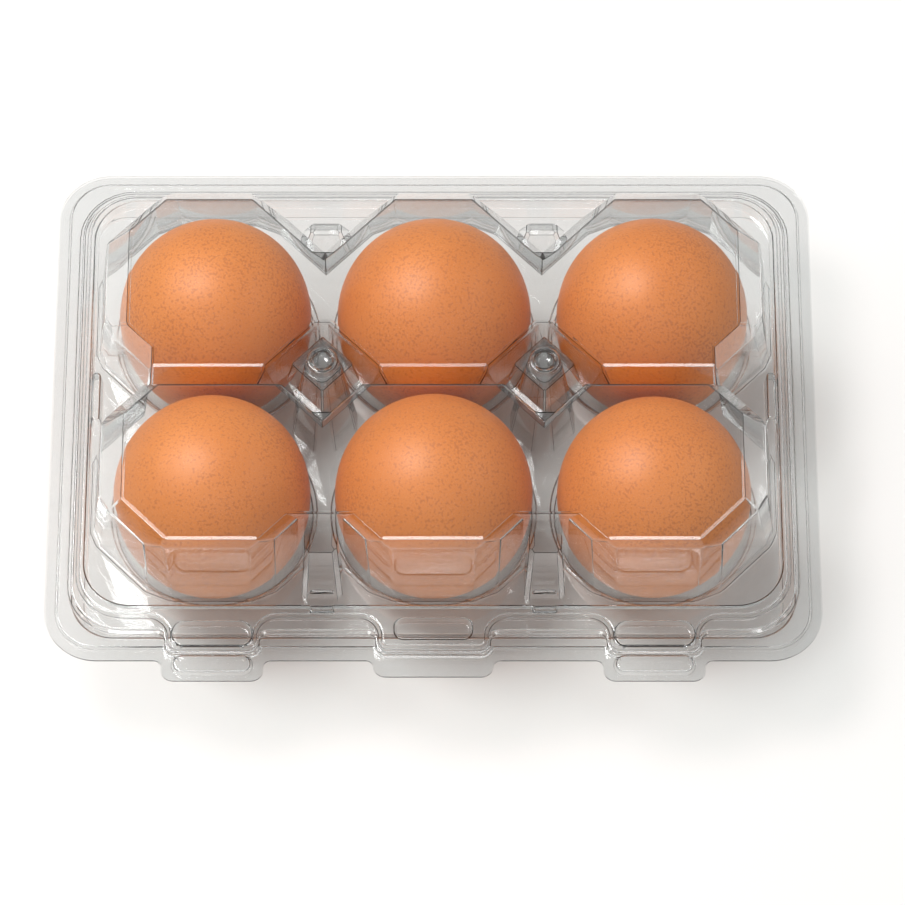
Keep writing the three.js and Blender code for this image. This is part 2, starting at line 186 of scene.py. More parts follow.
# %% [markdown]
# Closed bodies from stacked outlines
#
# What has a round outline is instead a stack of level outlines joined by straight walls,
# with quarter circles at its foot and head. A plain bevel would do for one such form, but
# the forms overlap, and each needs its soft foot where it stands on the next.

# %% Outlines and stacks


def rounded(left, right, front, back, radius, steps=12):
    """Outline of a rectangle with round corners, counter-clockwise, as one array: each
    corner's centre plus a quarter circle."""
    turn = (np.arange(4)[:, None] + np.linspace(0, 1, steps + 1)) * math.pi / 2
    cx = np.array([right - radius, left + radius, left + radius, right - radius])[:, None]
    cy = np.array([back - radius, back - radius, front + radius, front + radius])[:, None]
    return np.stack([cx + radius * np.cos(turn), cy + radius * np.sin(turn)], -1).reshape(-1, 2)


def stacked(name, outlines, heights):
    """The body between level outlines of one count, lowest first: ring k holds outline k at
    height k, neighbouring rings are joined by quads, and the end rings are the caps."""
    count, levels = len(outlines[0]), len(heights)
    verts = np.concatenate([np.c_[o, np.full(count, z)] for o, z in zip(outlines, heights)])
    i, k = np.meshgrid(np.arange(count), np.arange(levels - 1))
    a, b = k * count + i, k * count + (i + 1) % count
    quads = np.stack([a, b, b + count, a + count], -1).reshape(-1, 4).tolist()
    caps = [list(range(count))[::-1], list(range((levels - 1) * count, levels * count))]
    return mesh_object(name, verts, quads + caps)


def rim_outline(margin, front=None, radius=None):
    """The rim's outline drawn in by a margin, with a front margin and corner of its own."""
    front = margin if front is None else front
    radius = max(RIM_RADIUS - margin, 3) if radius is None else radius
    half_x, back = RIM_HALF_X - margin, RIM_HALF_Y - margin
    return rounded(-half_x, half_x, -RIM_HALF_Y + front, back, radius, 20)


def patch(x, y, half_x, half_y, radius):
    """Outline of a round-cornered patch as a function of how far it is drawn in."""

    def outline(d):
        left, right, front, back = x - half_x + d, x + half_x - d, y - half_y + d, y + half_y - d
        return rounded(left, right, front, back, max(radius - d, 0.15), 8)

    return outline


def disc(x, y, radius, sides=64):
    """A circle as a function of how far it is drawn in."""
    turn = np.arange(sides) * 2 * math.pi / sides
    ring = np.stack([np.cos(turn), np.sin(turn)], -1)
    return lambda d: (x, y) + (radius - d) * ring


print("points round the rim:", len(rim_outline(0)))

# %% Raised and sunk forms
OVERLAP = 0.03


def soft_steps(low, high, lean, foot, head, steps=6):
    """Side of a raised form from the ground up, as pairs (drawn in by, height): a hollow
    quarter circle `foot` at the ground, a wall that leans in by `lean`, and a round edge
    `head` at the top. Quarter circles are 1 - cos t and sin t times their radius."""
    t = np.linspace(0, math.pi / 2, steps + 1)
    hollow = np.stack([-foot * (1 - np.sin(t)), low + foot * (1 - np.cos(t))], -1)
    edge = np.stack([lean + head * (1 - np.cos(t)), high - head * (1 - np.sin(t))], -1)
    return np.concatenate([hollow, edge])


def raised(name, outline, low, high, lean=0.4, foot=0.5, head=0.5, root=None):
    """A form that stands on the ground at height low. `outline` gives the outline drawn in
    by a number of mm."""
    steps = soft_steps(low - OVERLAP, high, lean, foot, head)
    insets = np.r_[-foot, steps[:, 0]]
    heights = np.r_[low - 2 if root is None else root, steps[:, 1]]
    return stacked(name, [outline(d) for d in insets], heights)


def sunk(name, outline, low, high, lean=0.4, foot=0.5, head=0.4):
    """A hollow cut from height high down to low: the same side turned upside down, so that
    `foot` is the round lip at the top and `head` the round corner at the bottom."""
    steps = soft_steps(low, high + OVERLAP, lean, foot, head)
    insets = np.r_[steps[::-1, 0], -foot]
    heights = np.r_[low + high + OVERLAP - steps[::-1, 1], high + 6]
    return stacked(name, [outline(d) for d in insets], heights)


print("rings in one soft side:", len(soft_steps(0, 1, 0.4, 0.5, 0.5)))

# %% [markdown]
# The rim's own outlines
#
# The frame round the lid keeps an even distance from the rim, but swings forward round
# each catch in hollow arcs. Arcs that are worked out one by one drift apart when the form
# gets narrower, so one function draws the whole outline from its corners, each with the
# radius it has at that distance. The flange's three tabs flare out in the same way.

# %% Frame and tab outlines
TABS = ((-49.5, 23.0, 5.0), (0.0, 27.0, 4.0), (49.5, 23.0, 5.0))
CATCHES = ((-49.5, 10.6), (0.0, 12.9), (49.5, 10.6))
CATCH_CORNER = 2.2
TAB_CORNER = 2.6
TAB_FLARE = 1.8


def soft_outline(corners, drawn_in=0.0, steps=8):
    """Outline through corners (x, y, radius), counter-clockwise, drawn in by d. Each corner
    becomes an arc that touches both sides, at radius / tan(half the inner angle) from the
    corner. Drawing in shortens the radius of an outward corner and lengthens that of a
    hollow one, so that the arc's centre stays where it is."""
    corners = np.asarray(corners, float)
    parts = []
    for k, radius in enumerate(corners[:, 2]):
        here = corners[k, :2]
        before, after = corners[k - 1, :2] - here, corners[(k + 1) % len(corners), :2] - here
        before, after = before / np.linalg.norm(before), after / np.linalg.norm(after)
        outward = before[0] * after[1] - before[1] * after[0] < 0
        half = math.acos(np.clip(before @ after, -1, 1)) / 2
        middle = (before + after) / np.linalg.norm(before + after)
        centre = here + middle * radius / math.sin(half)
        touching = (here + side * radius / math.tan(half) for side in (before, after))
        start, end = (math.atan2(*(point - centre)[::-1]) for point in touching)
        sweep = (end - start + math.pi) % (2 * math.pi) - math.pi
        turn = start + np.linspace(0, 1, steps + 1) * sweep
        span = max(radius - drawn_in, 0.1) if outward else radius + drawn_in
        parts.append(centre + span * np.stack([np.cos(turn), np.sin(turn)], -1))
    return np.concatenate(parts)


def ring_with_catches(margin, front, radius, catch_front, slimmer, fillet):
    """The frame's outer outline: the rim drawn in, with three catches that stand out of its
    front side in hollow arcs."""
    half_x, front_y, back_y = RIM_HALF_X - margin, -RIM_HALF_Y + front, RIM_HALF_Y - margin
    corners = [(-half_x, front_y, radius)]
    for x, half in CATCHES:
        for side in (-1, 1):
            edge = x + side * (half - slimmer)
            pair = [(edge, front_y, fillet), (edge, catch_front, CATCH_CORNER)]
            corners += pair if side < 0 else pair[::-1]
    corners += [(half_x, front_y, radius), (half_x, back_y, radius), (-half_x, back_y, radius)]
    return lambda d: soft_outline(corners, d)


def arc(cx, cy, radius, start, end, steps=8):
    """Points on a circle between two angles in degrees."""
    turn = np.radians(np.linspace(start, end, steps + 1))
    return np.stack([cx + radius * np.cos(turn), cy + radius * np.sin(turn)], -1)


def tabbed_outline(inset=0.0):
    """The rim's outline with its tabs, counter-clockwise from the front left corner. Each tab
    flares out of the front edge in a hollow arc and ends in two round corners."""
    front = -RIM_HALF_Y + inset
    parts = []
    for x, width, reach in TABS:
        left, right, tip = x - width / 2 + inset, x + width / 2 - inset, front - reach
        root = front - TAB_FLARE
        parts.append(arc(left - TAB_FLARE, root, TAB_FLARE, 90, 0))
        parts.append(arc(left + TAB_CORNER, tip + TAB_CORNER, TAB_CORNER, 180, 270))
        parts.append(arc(right - TAB_CORNER, tip + TAB_CORNER, TAB_CORNER, 270, 360))
        parts.append(arc(right + TAB_FLARE, root, TAB_FLARE, 180, 90))
    in_x, in_y, r = RIM_HALF_X - RIM_RADIUS, RIM_HALF_Y - RIM_RADIUS, RIM_RADIUS - inset
    turns = ((in_x, -in_y, 270), (in_x, in_y, 0), (-in_x, in_y, 90), (-in_x, -in_y, 180))
    parts += [arc(x, y, r, start, start + 90, 16) for x, y, start in turns]
    return np.concatenate(parts)


print("points round the flange with its tabs:", len(tabbed_outline()))

# %% [markdown]
# From bodies to one moulded sheet
#
# A thermoformed sheet has no undercut: seen from above it is one surface. So the bodies
# are joined and cut into one filled block, everything but its upper side is thrown
# away, and what is left gets the sheet's thickness. A thickness drawn as two real
# surfaces bends the light twice, which gives each crease its thin dark and bright line.
#
# Where the wall stands steep the warm sheet was drawn out the most, and it comes off the
# mould a little hazy. Each corner keeps how steep its flattest face is, for the finish.

# %% Joining, cutting and the sheet
MERGE = 2e-6
SHARP = math.radians(20)


def combine(base, other, operation="UNION"):
    """Joins or cuts with a boolean, then deletes the tool."""
    cut = base.modifiers.new(operation, "BOOLEAN")
    cut.operation = operation
    cut.solver = "MANIFOLD"
    cut.object = other
    graph = bpy.context.evaluated_depsgraph_get()
    mesh = bpy.data.meshes.new_from_object(base.evaluated_get(graph))
    base.modifiers.clear()
    old = base.data
    base.data = mesh
    bpy.data.meshes.remove(old)
    bpy.data.objects.remove(other)


def moulded_sheet(obj, name, low):
    """Keeps the upper side of a filled block and gives it the sheet's thickness. Facets keep
    their flat shading, because each corner takes its normal from the largest face at it."""
    bm = bmesh.new()
    bm.from_mesh(obj.data)
    bmesh.ops.remove_doubles(bm, verts=bm.verts, dist=MERGE)
    under = [f for f in bm.faces if min(v.co.z for v in f.verts) < low * MM]
    bmesh.ops.delete(bm, geom=under, context="FACES")
    bm.normal_update()
    drawn = bm.verts.layers.float.new("drawn")
    for vert in bm.verts:
        steep = [1 - abs(face.normal.z) for face in vert.link_faces]
        vert[drawn] = min(steep) if steep else 0
    for edge in bm.edges:
        edge.smooth = len(edge.link_faces) == 2 and edge.calc_face_angle(0) < SHARP
    bm.to_mesh(obj.data)
    bm.free()
    obj.data.polygons.foreach_set("use_smooth", np.ones(len(obj.data.polygons), bool))
    obj.name = obj.data.name = name
    wall = obj.modifiers.new("sheet thickness", "SOLIDIFY")
    wall.thickness = SHEET * MM
    wall.offset = -1
    wall.use_even_offset = True
    flat = obj.modifiers.new("flat facets", "WEIGHTED_NORMAL")
    flat.weight = 100
    flat.keep_sharp = True
    return obj


print("sheet", SHEET, "mm thick, edges sharp from", round(math.degrees(SHARP)), "degrees")

# %% [markdown]
# The lid's domes
#
# Three domes to a row run together under one flat top. Deep notches part them at the
# front and the back, a groove parts the rows, and where four domes meet a pit holds a
# diamond platform with a round button, on which the next pack stands. Each dome could be
# one box with bevelled edges, but its eight corners differ: toward the rim, the notches,
# the crossings and the sides. So every wall gets its own line in a table.

# %% Walls of the domes
DEEP = 18.0
CREASE = 0.42

# Walls as (foot, draft, top, bevel): distance from the egg's middle on the ground, lean of
# the wall, distance at the flat top and lean of the facet between wall and top.
DOME_SIDE = (27.0, 0.118, 18.9, 0.83)
DOME_FRONT = (25.5, 0.044, 23.1, 0.5)
DOME_BACK = (25.4, 0.15, 17.2, 0.83)
STRIP_SIDE, STRIP_FRONT, STRIP_BACK = (28.3, 0.1), (26.9, 0.028), (26.8, 0.13)
COLUMN_REACH = 28.5
GROOVE_FRONT, GROOVE_BACK, GROOVE_BOW, GROOVE_SLOPE = 15.2, 21.8, 25.6, 0.5
CORNERS = {
    ("front", "rim"): (26.6, 0.03, 22.7, 0.75),
    ("front", "notch"): (26.5, 0.01, 24.2, 0.75),
    ("front", "crossing"): (26.6, 0.09, 22.0, 0.36),
    ("front", "side"): (26.6, 0.08, 19.0, 0.62),
    ("back", "rim"): (26.4, 0.1, 19.9, 0.6),
    ("back", "notch"): (26.4, 0.04, 18.4, 0.5),
    ("back", "crossing"): (27.6, 0.02, 26.6, 0.3),
    ("back", "side"): (26.6, 0.03, 24.0, 0.25),
}
# The skirt at a dome's foot: how far it stands out, its slope, height and crease.
FOOT_OUT, FOOT_SLOPE, FOOT_HEIGHT, FOOT_CREASE = 0.9, 0.3, 1.2, 0.3
EIGHTH = math.pi / 8


def wall_planes(angle, foot, draft, top=None, bevel=None, at_foot=False):
    """The wall, and the facet above it. At the foot, instead the sloping skirt that runs
    round the wall on the ground."""
    if at_foot:
        return [leaning(angle, foot + FOOT_OUT, LID_FLOOR, FOOT_SLOPE)]
    planes = [leaning(angle, foot, LID_FLOOR, draft)]
    return planes + ([leaning(angle, top, LID_TOP, bevel)] if top else [])


def dome_body(x, y, at_foot=False):
    """A dome over the egg at x, y: side walls, corners, end wall and the slope to the groove."""
    row, outward = ("front", -math.pi / 2) if y < 0 else ("back", math.pi / 2)
    planes = [level(-1, DEEP), level(1, LID_FLOOR + FOOT_HEIGHT if at_foot else LID_TOP)]
    for side_x in (-1, 1):
        angle = 0 if side_x > 0 else math.pi
        at_side = side_x * x > 0
        if at_side:
            planes += wall_planes(angle, *DOME_SIDE, at_foot=at_foot)
            planes += wall_planes(angle - EIGHTH, *STRIP_SIDE, at_foot=at_foot)
            planes += wall_planes(angle + EIGHTH, *STRIP_SIDE, at_foot=at_foot)
        else:
            planes.append(leaning(angle, COLUMN_REACH, LID_FLOOR, 0))
        for side_y in (-1, 1):
            at_end = side_y * y > 0
            kind = ("rim" if at_end else "side") if at_side else ("notch" if at_end else "crossing")
            planes += wall_planes(math.atan2(side_y, side_x), *CORNERS[row, kind], at_foot=at_foot)
    end, strip = (DOME_FRONT, STRIP_FRONT) if y < 0 else (DOME_BACK, STRIP_BACK)
    planes += wall_planes(outward, *end, at_foot=at_foot)
    planes += wall_planes(outward - EIGHTH, *strip, at_foot=at_foot)
    planes += wall_planes(outward + EIGHTH, *strip, at_foot=at_foot)
    groove = GROOVE_FRONT if y < 0 else GROOVE_BACK
    planes.append(leaning(-outward, groove, LID_TOP, GROOVE_SLOPE))
    return faceted("dome", planes, (x, y), FOOT_CREASE if at_foot else CREASE)


def bow(x, y):
    """The narrower front part of a back dome, which reaches over the groove between rows."""
    planes = [level(-1, DEEP), level(1, LID_TOP), leaning(math.pi / 2, 0, LID_TOP, 0)]
    for side_x in (-1, 1):
        at_side = side_x * x > 0
        half = 13.2 if at_side else 19
        planes.append(leaning(0 if side_x > 0 else math.pi, half, LID_TOP, 0.12))
        if not at_side:
            planes += wall_planes(math.atan2(-1, side_x), *CORNERS["back", "crossing"])
    planes.append(leaning(-math.pi / 2, GROOVE_BOW, LID_TOP, GROOVE_SLOPE))
    return faceted("bow", planes, (x, y), CREASE)


for row in ("front", "back"):
    kinds = [kind for r, kind in CORNERS if r == row]
    print("corners of a", row, "dome:", ", ".join(kinds))

# %% Bodies in notches and crossings


def leaning_box(left, right, front, back, z, draft, top, width=CREASE, root=DEEP):
    """A box whose walls stand at the given places at height z."""
    sides = ((0, right), (math.pi, -left), (math.pi / 2, back), (-math.pi / 2, -front))
    planes = [level(-1, root), level(1, top)]
    planes += [leaning(angle, reach, z, draft) for angle, reach in sides]
    return faceted("box", planes, (0, 0), width)


def diamond(x, foot, draft, z, top):
    """An upright square pillar, turned by an eighth, whose walls lean in by `draft`."""
    planes = [level(-1, DEEP), level(1, top)]
    planes += [leaning((i + 0.5) * math.pi / 2, foot, z, draft) for i in range(4)]
    return faceted("diamond", planes, (x, 0), CREASE)


# Half the rib's width, the places of its back and front, and how its walls lean.
RIB_HALF, RIB_SIDE_LEAN = 4.6, 0.055
RIB_BACK, RIB_FRONT, RIB_FRONT_LEAN = -36.5, 47.9, 0.2
RIB_SHOULDER = 1.1


def rib(x):
    """The upright rib in a front notch, with a front that leans back and round shoulders."""
    planes = [level(-1, DEEP), level(1, RIB_TOP), leaning(math.pi / 2, RIB_BACK, LID_FLOOR, 0)]
    planes += [leaning(angle, RIB_HALF, LID_FLOOR, RIB_SIDE_LEAN) for angle in (0, math.pi)]
    planes.append(leaning(-math.pi / 2, RIB_FRONT, LID_FLOOR, RIB_FRONT_LEAN))
    return faceted("rib", planes, (x, 0), RIB_SHOULDER)


print("front rib", 2 * RIB_HALF, "mm wide and", RIB_TOP - LID_FLOOR, "mm tall")

# %% [markdown]
# The lid
#
# Round the domes lie a flat ground, a step and a raised frame, and at the front three
# catches with pockets. Drawing all of it as one union of leaning bodies keeps every wall
# at its own lean, as the mould has it. What comes first is cut into by what comes later,
# so the frame is hollowed out before the domes stand in it.

# %% Lid: flange, ground and frame
lid = stacked("lid block", [tabbed_outline()] * 2, (DEEP, LID_RIM))
ground = raised("ground", lambda d: rim_outline(2.4 + d), LID_RIM, LID_FLOOR, 0.4, 0.3, 0.3)
step_outline = ring_with_catches(5.1, 5.7, 12.5, -61.7, 0.0, 1.9)
step = raised("step", step_outline, LID_FLOOR, STEP_TOP, 0.7, 0.5, 0.5)
frame_outline = ring_with_catches(7.0, 9.0, 11.0, -61.2, 0.6, 4.6)
ring = raised("frame", frame_outline, STEP_TOP, BEAD_TOP, 0.7, 0.5, 0.5, LID_FLOOR - 0.5)
inner_outline = lambda d: rim_outline(8.9 + d, 12 + d, 10.5 - d)
inside = sunk("inside", inner_outline, LID_FLOOR, BEAD_TOP, 0.3, 0.4, 0.5)
for form in (ground, step, ring):
    combine(lid, form)
combine(lid, inside, "DIFFERENCE")

POCKET_DEPTH = 1.7
for x, _ in CATCHES:
    pocket = patch(x, -57.6, 8.8, 2.9, 2.6) if x else patch(x, -56.4, 8.6, 2.5, 1.9)
    hollow = sunk("pocket", pocket, BEAD_TOP - POCKET_DEPTH, BEAD_TOP, 0.3, 0.4, 0.6)
    combine(lid, hollow, "DIFFERENCE")
print("faces with the frame:", len(lid.data.polygons))

# %% Lid: domes
for x, y in itertools.product(COLUMNS, ROWS):
    combine(lid, dome_body(x, y))
    if y > 0:
        combine(lid, bow(x, y))
    combine(lid, dome_body(x, y, at_foot=True))
print("faces with the domes:", len(lid.data.polygons))

# %% Lid: crossings and notches
# A bridge joins the flat tops of neighbouring domes, between a front and a back place.
BRIDGE_HALF, BRIDGE_LEAN = 12, 0.03
BRIDGES = ((-39.8, -14.5), (8.3, 26.3))
for x in CROSSINGS:
    for front, back in BRIDGES:
        sides = (x - BRIDGE_HALF, x + BRIDGE_HALF, front, back)
        combine(lid, leaning_box(*sides, LID_TOP, BRIDGE_LEAN, LID_TOP))
    combine(lid, diamond(x, 9.4, 0, PIT_FLOOR, PIT_FLOOR))
    combine(lid, diamond(x, 6.0, 0.147, PIT_FLOOR, PLATFORM_TOP))
    combine(lid, raised("button", disc(x, 0, 3.75), PLATFORM_TOP, BUTTON_TOP, 0.2, 0.25, 0.5))
    dimple = sunk("dimple", disc(x, 0, 2.5), PLATFORM_TOP + 0.4, BUTTON_TOP, 0.2, 0.3, 1.6)
    combine(lid, dimple, "DIFFERENCE")
    combine(lid, rib(x))
    low, high = LID_FLOOR + 2, LID_FLOOR + 8.5
    panel = leaning_box(x - 2.5, x + 2.5, -52, -47.0, low, 0.2, high, 0.3, low)
    combine(lid, panel, "DIFFERENCE")
    back_rib = leaning_box(x - 5.2, x + 5.2, 41.5, 47.6, LID_FLOOR, 0.3, LID_FLOOR + 6, 0.8)
    combine(lid, back_rib)
print("faces with the crossings:", len(lid.data.polygons))

# %% Lid: buttresses, bumps on the tabs and the sheet
BUTTRESS_X, BUTTRESS_HEIGHT = 77.2, 4.5
BUMP_Y, BUMP_HEIGHT = -63.8, 1.6
for x in (-BUTTRESS_X, BUTTRESS_X):
    outline = patch(x, 1.5, 1.4, 6.5, 1.3)
    top = LID_FLOOR + BUTTRESS_HEIGHT
    combine(lid, raised("buttress", outline, LID_FLOOR, top, 0.4, 0.3, 0.6))
for x in (TABS[0][0], TABS[2][0]):
    outline = patch(x, BUMP_Y, 9.2, 2.6, 2.5)
    combine(lid, raised("bump", outline, LID_RIM, LID_RIM + BUMP_HEIGHT, 0.5, 0.25, 0.5))
lid_sheet = moulded_sheet(lid, "lid_sheet", LID_RIM - 1)
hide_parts("lid")
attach(lid_sheet, "lid")
print("lid sheet faces:", len(lid_sheet.data.polygons))

# %% [markdown]
# The tray
#
# Below the rim a shallow basin holds six cups, round and tapering to a flat foot, and
# two hollow pillars stand up between them and carry the lid. A cup is a turned form, so
# circles of its own radius at each height draw it, with a ledge just below its rim.

# %% Cups and pillars
CUP_HEIGHTS = np.array([0.6, 0.75, 1.6, 3.4, 6.0, 9.0, 12.5, 16.0, 18.4, 19.6])
CUP_RADII = np.array([8.2, 9.3, 11.2, 13.7, 16.2, 18.2, 20.0, 21.3, 22.0, 22.3])
LEDGE, LIP = 20.2, 0.5
LEDGE_OUT, CUP_WALL = 23.1, 23.25


def turned(name, x, y, radii, heights, sides=96):
    """A stack of circles, each with its own radius."""
    return stacked(name, [disc(x, y, r, sides)(0) for r in radii], heights)


def cup_body(x, y):
    """A cup with a ledge below its rim: bowl, round lip, narrow ledge, short wall, round lip.
    A lip is a quarter circle, LIP * (1 - cos t) outward and LIP * sin t upward."""
    t = np.linspace(0, math.pi / 2, 7)[1:]
    over_r, over_z = LIP * (1 - np.cos(t)), LIP * np.sin(t)
    radii = [CUP_RADII, CUP_RADII[-1] + over_r, LEDGE_OUT, [CUP_WALL, CUP_WALL]]
    radii += [CUP_WALL + over_r, CUP_WALL + LIP]
    heights = [CUP_HEIGHTS, LEDGE - LIP + over_z, LEDGE + 0.05, LEDGE + 0.2, 21.3]
    heights += [21.4 + over_z, TRAY_RIM + 3]
    return turned("cup", x, y, np.hstack(radii), np.hstack(heights))


# Reach and lean of the narrow and of the wide sides, and the height where they have it.
PILLAR_NARROW, PILLAR_WIDE, PILLAR_FOOT = (7.4, 0.12), (6.9, 0.125), WEB_TOP + 5


def pillar_body(x):
    """Eight flat sides: narrow ones toward the rim and wide ones toward the four eggs."""
    planes = [level(-1, WEB_TOP - 4), level(1, PILLAR_TOP)]
    for (side, lean), turned_by in ((PILLAR_NARROW, 0), (PILLAR_WIDE, 0.5)):
        for i in range(4):
            planes.append(leaning((i + turned_by) * math.pi / 2, side, PILLAR_FOOT, lean))
    return faceted("pillar", planes, (x, 0), 0.35)


print("cup", 2 * CUP_RADII[-1], "mm wide inside, ledge at", LEDGE, "mm")

# %% Tray
tray = stacked("tray block", [tabbed_outline(0.25)] * 2, (-9, TRAY_RIM))
BASIN_FLOOR = WEB_TOP + 4.9
basin_outline = lambda d: rim_outline(6.2 + d, 6.2 + d, 9.5 - d)
basin = sunk("basin", basin_outline, BASIN_FLOOR, TRAY_RIM, 2.4, 0.6, 0.8)
combine(tray, basin, "DIFFERENCE")
for x, y in itertools.product(COLUMNS, ROWS):
    combine(tray, cup_body(x, y), "DIFFERENCE")
for x in CROSSINGS:
    combine(tray, pillar_body(x))
tray_sheet = moulded_sheet(tray, "tray_sheet", -1)
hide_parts("tray")
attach(tray_sheet, "tray")
print("tray sheet faces:", len(tray_sheet.data.polygons))

# %% [markdown]
# The eggs
#
# A hen's egg is round about its long axis and fuller toward the blunt end, which stands
# upward in a carton. Each of the six has its own width, height and lean. A lathe over
# one profile gives that with a few hundred points and no seam to hide.

# %% Eggs
# Column, row, width, height, and lean to the side and to the back in degrees.
EGGS = {
    "egg_back_left": (0, 1, 44.0, 53.4, -0.9, -0.5),
    "egg_back_middle": (1, 1, 44.6, 53.0, 0.4, -0.6),
    "egg_back_right": (2, 1, 43.8, 53.8, 0.6, -0.4),
    "egg_front_left": (0, 0, 44.5, 53.2, -0.5, 0.6),
    "egg_front_middle": (1, 0, 44.8, 53.6, 0.2, 0.5),
    "egg_front_right": (2, 0, 43.9, 52.9, -0.4, 0.5),
}
BLUNT = 0.13
LEAN_CENTRE = 0.3
EGG_FOOT = 0.9


def egg_profile(across, tall, rings):
    """Radius and height of each ring: a circle's profile, radius sqrt(1 - a^2) at height a,
    made fuller toward the blunt end by the factor 1 + BLUNT * a."""
    a = -np.cos(np.linspace(0, math.pi, rings + 1))[1:-1]
    fuller = np.sqrt(1 - a * a) * (1 + BLUNT * a)
    return fuller * (across / 2 / fuller.max()), (a + 1) * tall / 2


def egg_surface(name, column, row, across, tall, lean, nod, rings=72, sides=96):
    """The egg's profile carried round its long axis, leaned to the side and nodded about a
    point below its middle, and set down on the foot of its cup."""
    radius, height = egg_profile(across, tall, rings)
    turn = np.arange(sides) * 2 * math.pi / sides
    x = radius[:, None] * np.cos(turn)
    y = radius[:, None] * np.sin(turn)
    z = np.repeat(height[:, None], sides, 1)
    verts = np.concatenate([np.stack([x, y, z], -1).reshape(-1, 3), [[0, 0, 0], [0, 0, tall]]])
    verts[:, 2] -= tall * LEAN_CENTRE
    cos_l, sin_l = math.cos(math.radians(lean)), math.sin(math.radians(lean))
    cos_n, sin_n = math.cos(math.radians(nod)), math.sin(math.radians(nod))
    verts = verts @ np.array([[cos_l, 0, -sin_l], [0, 1, 0], [sin_l, 0, cos_l]])
    verts = verts @ np.array([[1, 0, 0], [0, cos_n, sin_n], [0, -sin_n, cos_n]])
    verts += (COLUMNS[column], ROWS[row], EGG_FOOT - verts[:, 2].min())
    i, k = np.meshgrid(np.arange(sides), np.arange(len(radius) - 1))
    p, q = k * sides + i, k * sides + (i + 1) % sides
    faces = np.stack([p, q, q + sides, p + sides], -1).reshape(-1, 4).tolist()
    foot, crown, last = len(verts) - 2, len(verts) - 1, (len(radius) - 1) * sides
    faces += [[foot, (j + 1) % sides, j] for j in range(sides)]
    faces += [[crown, last + j, last + (j + 1) % sides] for j in range(sides)]
    obj = mesh_object(name + "_shell", verts, faces)
    obj.data.polygons.foreach_set("use_smooth", np.ones(len(faces), bool))
    return obj


eggs = []
for name, values in EGGS.items():
    egg = egg_surface(name, *values)
    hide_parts(name)
    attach(egg, "tray")
    eggs.append(egg)
print("eggs:", len(eggs), "with", len(eggs[0].data.polygons), "faces each")

# %% [markdown]
# Finish of the sheets: thermoformed clear PET
#
# Light bends at both faces of the sheet (index 1.57), and the flat parts are glossy. A
# cast film is never quite even, so a faint ripple, a couple of centimetres from crest to
# crest, breaks its reflections. Where the sheet was drawn out it is rougher. For lamps
# the sheet is simply see-through with a small loss, and light scattered from the eggs
# and the table passes it untouched. Tracing every lamp and every scattered ray through
# each bend would give blacker shadows and much noise.

# %% Colours and nodes


def linear(code):
    """An sRGB hex colour as linear red, green and blue: c / 12.92 for dark values, else
    ((c + 0.055) / 1.055) to the power 2.4."""
    parts = [int(code[i : i + 2], 16) / 255 for i in (1, 3, 5)]
    return [c / 12.92 if c <= 0.04045 else ((c + 0.055) / 1.055) ** 2.4 for c in parts] + [1.0]


def add(tree, kind, settings=None, links=None, **fields):
    """One node: kind is its type, fields its own settings, settings its input values and
    links the outputs that feed its inputs."""
    node = tree.nodes.new("ShaderNode" + kind)
    for key, value in fields.items():
        setattr(node, key, value)
    for key, value in (settings or {}).items():
        node.inputs[key].default_value = value
    for key, socket in (links or {}).items():
        tree.links.new(socket, node.inputs[key])
    return node


def new_material(name):
    material = bpy.data.materials.new(name)
    material.use_nodes = True
    material.node_tree.nodes.clear()
    return material, material.node_tree


print("mid grey in linear light:", round(linear("#808080")[0], 3))

# %% Clear PET sheet
pet, tree = new_material("clear_pet_sheet")
where = add(tree, "TexCoord").outputs["Object"]
wave = add(tree, "TexNoise", {"Scale": 70.0, "Detail": 0.0}, {"Vector": where}).outputs["Fac"]
ripple = add(tree, "Bump", {"Strength": 0.35, "Distance": 0.0001}, {"Height": wave})
drawn = add(tree, "Attribute", attribute_name="drawn").outputs["Fac"]
hazy_from_to = {"From Min": 0.5, "From Max": 0.8, "To Min": 0.03, "To Max": 0.09}
haze = add(tree, "MapRange", hazy_from_to, {"Value": drawn})
clear = add(
    tree,
    "BsdfPrincipled",
    {"Base Color": linear("#F6F7F7"), "IOR": 1.57, "Transmission Weight": 1.0},
    {"Normal": ripple.outputs["Normal"], "Roughness": haze.outputs["Result"]},
)
through = add(tree, "BsdfTransparent", {"Color": (0.93, 0.94, 0.94, 1)})
lamp = add(tree, "LightPath").outputs["Is Shadow Ray"]
both = add(tree, "MixShader", links={0: lamp, 1: clear.outputs[0], 2: through.outputs[0]})
add(tree, "OutputMaterial", links={"Surface": both.outputs[0]})
for sheet in (lid_sheet, tray_sheet):
    sheet.data.materials.clear()
    sheet.data.materials.append(pet)
    sheet.visible_diffuse = False
print("clear sheet nodes:", len(tree.nodes))

# %% [markdown]
# Finish of the eggs: brown eggshell
#
# Eggshell is chalk with a thin skin: matt, with a low, wide sheen. Its tone drifts over
# centimetres, and small darker speckles gather in patches. Real pores are some hundredths
# of a millimetre wide; here they are about half a millimetre, because finer ones vanish
# at this distance. The pores only dent the surface, and the speckles only colour it.

